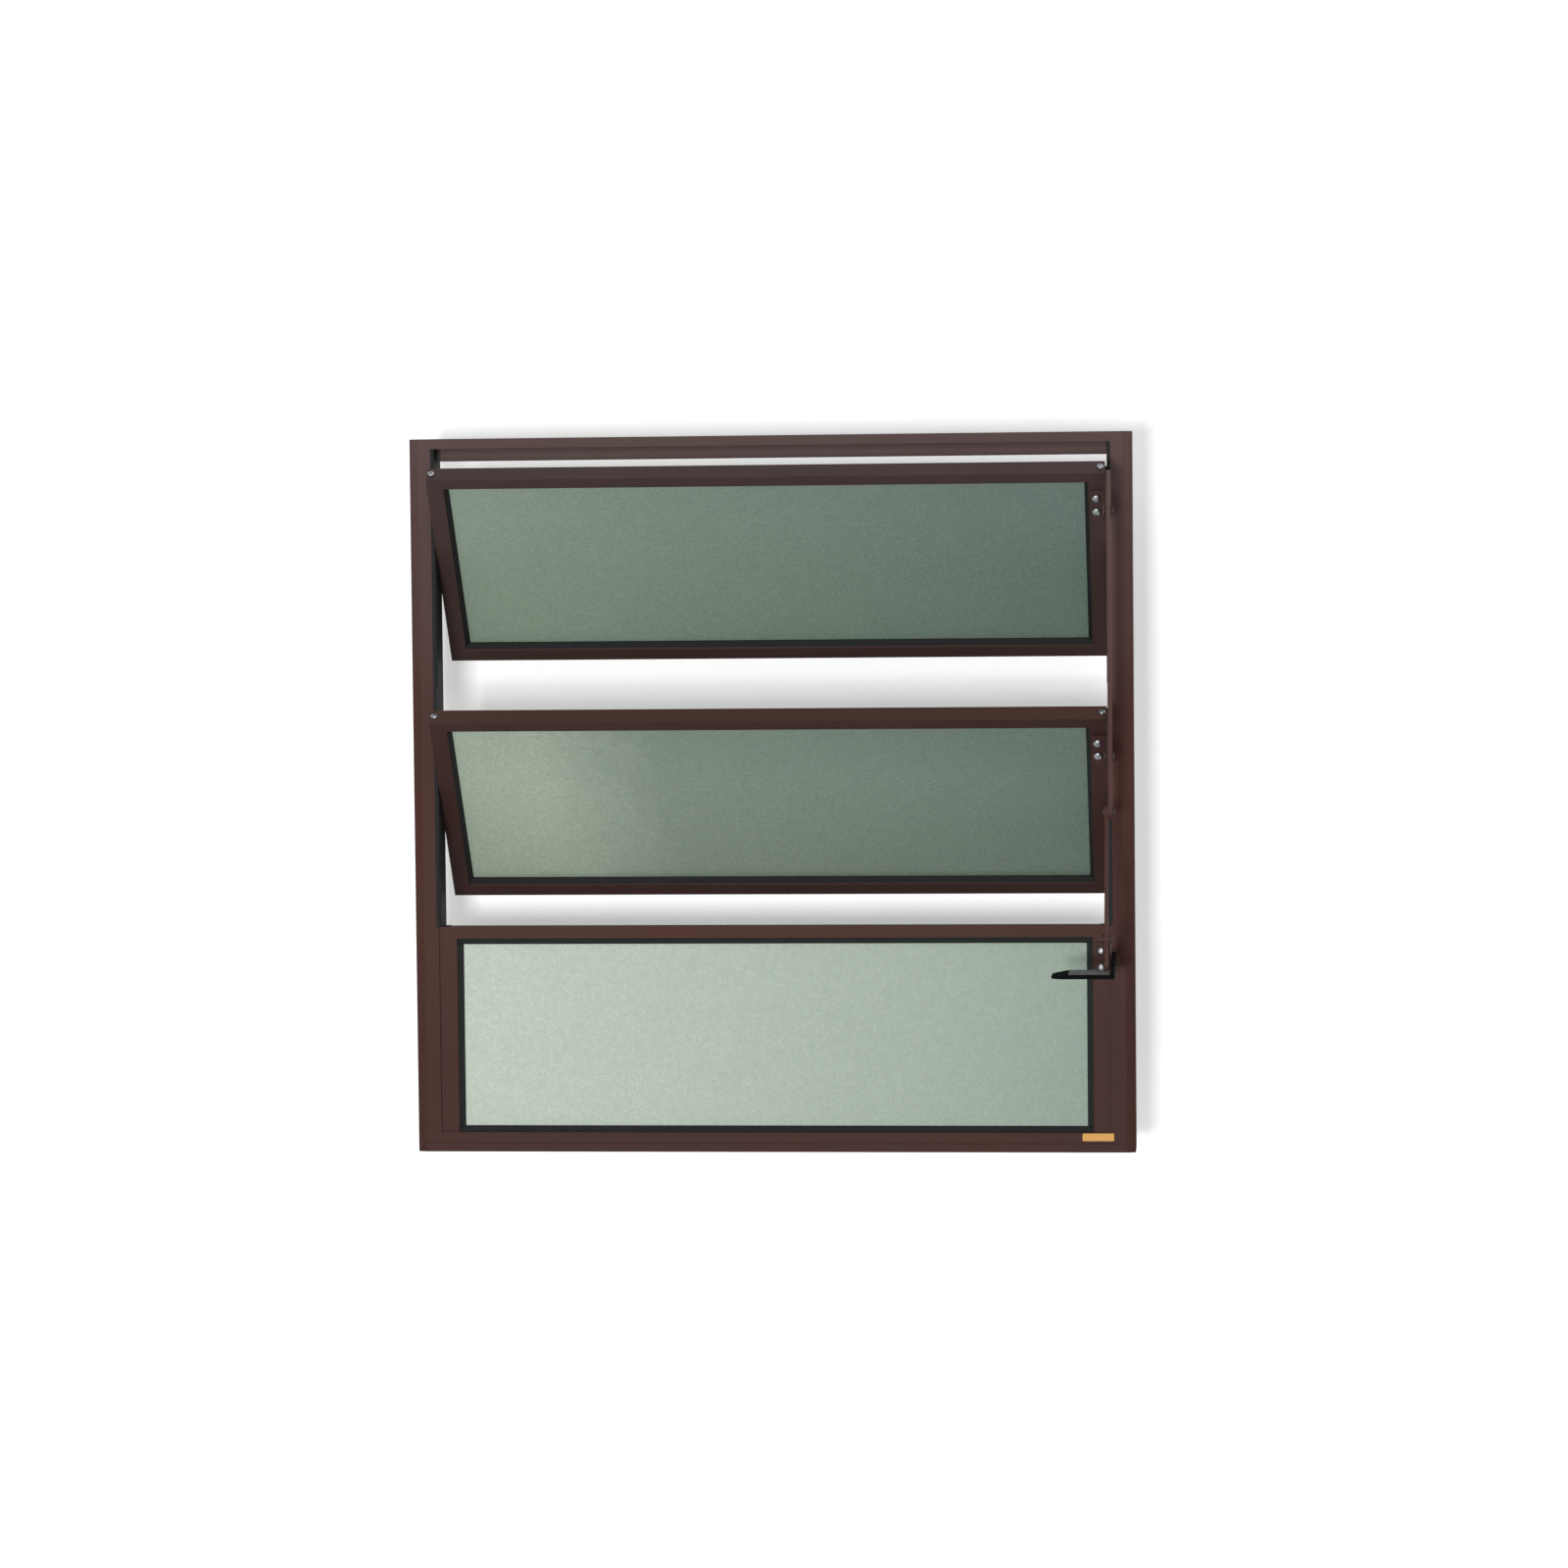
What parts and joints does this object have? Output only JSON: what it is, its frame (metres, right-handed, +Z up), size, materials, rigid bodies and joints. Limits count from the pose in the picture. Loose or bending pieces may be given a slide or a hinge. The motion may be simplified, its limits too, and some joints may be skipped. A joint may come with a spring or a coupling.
{
  "type": "horizontal pivot window",
  "caption": "Small aluminium window with horizontal pivot sashes over a fixed pane, tilted together by a side bar and a lever handle.",
  "frame": {"origin": "middle of the sill's flat underside, half way through the frame's depth", "axes": "+X to the right seen from the room, +Y through the wall to the outside, +Z up"},
  "size_m": [0.6, 0.1901, 0.5956],
  "materials": {
    "frame_bronze": "brown powder coat, satin",
    "sash_bronze": "dark brown powder coat, satin",
    "bracket_bronze": "dark brown powder coat, satin",
    "bar_bronze": "brown powder coat, satin",
    "black_lever": "black coat, satin",
    "brown_rivet": "dark brown coat",
    "steel_pin": "zinc plated",
    "nylon": "black nylon",
    "black_rubber": "matt",
    "textured_glass": "fine pebbled texture, sage green"
  },
  "bodies": {
    "frame": {"head": "frame_bronze", "sill": "frame_bronze", "jamb_left": "frame_bronze", "jamb_right": "frame_bronze", "jamb_seals": "black_rubber", "transom": "frame_bronze", "fixed_stile_left": "frame_bronze", "fixed_stile_right": "frame_bronze", "fixed_glass": "textured_glass", "fixed_gasket_rails": "black_rubber", "fixed_gasket_sides": "black_rubber", "upper_pivot_pins": "steel_pin", "lower_pivot_pins": "steel_pin", "lever_base_bracket": "bracket_bronze", "lever_pivot_pin": "brown_rivet"},
    "upper_sash": {"upper_sash_top_rail": "sash_bronze", "upper_sash_bottom_rail": "sash_bronze", "upper_sash_stile_left": "sash_bronze", "upper_sash_stile_right": "sash_bronze", "upper_sash_glass": "textured_glass", "upper_sash_gasket_rails": "black_rubber", "upper_sash_gasket_sides": "black_rubber", "upper_sash_pivot_bushes": "nylon", "upper_sash_arm_bracket": "bracket_bronze", "upper_sash_arm_pin": "brown_rivet"},
    "lower_sash": {"lower_sash_top_rail": "sash_bronze", "lower_sash_bottom_rail": "sash_bronze", "lower_sash_stile_left": "sash_bronze", "lower_sash_stile_right": "sash_bronze", "lower_sash_glass": "textured_glass", "lower_sash_gasket_rails": "black_rubber", "lower_sash_gasket_sides": "black_rubber", "lower_sash_pivot_bushes": "nylon", "lower_sash_arm_bracket": "bracket_bronze", "lower_sash_arm_pin": "brown_rivet"},
    "bar": {"actuating_bar": "bar_bronze", "lower_link": "bar_bronze", "link_rivet": "brown_rivet"},
    "lever_arm": {"lever": "black_lever", "lever_crank": "bar_bronze", "lever_pin": "brown_rivet"}
  },
  "joints": [
    {"name": "upper_sash_pivot", "type": "hinge", "parent": "frame", "child": "upper_sash", "pos_m": [0, -0.007, 0.5074], "axis": [1, 0, 0], "range_deg": [-39, 24]},
    {"name": "lower_sash_pivot", "type": "hinge", "parent": "frame", "child": "lower_sash", "pos_m": [0, -0.007, 0.3076], "axis": [1, 0, 0], "range_deg": [-39, 24]},
    {"name": "bar_pivot", "type": "hinge", "parent": "upper_sash", "child": "bar", "pos_m": [0.2817, -0.06533, 0.53017], "axis": [1, 0, 0], "range_deg": [-24, 39]},
    {"name": "lever_pivot", "type": "hinge", "parent": "frame", "child": "lever_arm", "pos_m": [0.2834, -0.04, 0.1614], "axis": [1, 0, 0], "range_deg": [-39, 24]}
  ],
  "couplings": [
    {"joint": "lower_sash_pivot", "follows": "upper_sash_pivot", "ratio": 1},
    {"joint": "bar_pivot", "follows": "upper_sash_pivot", "ratio": -1},
    {"joint": "lever_pivot", "follows": "upper_sash_pivot", "ratio": 1}
  ]
}
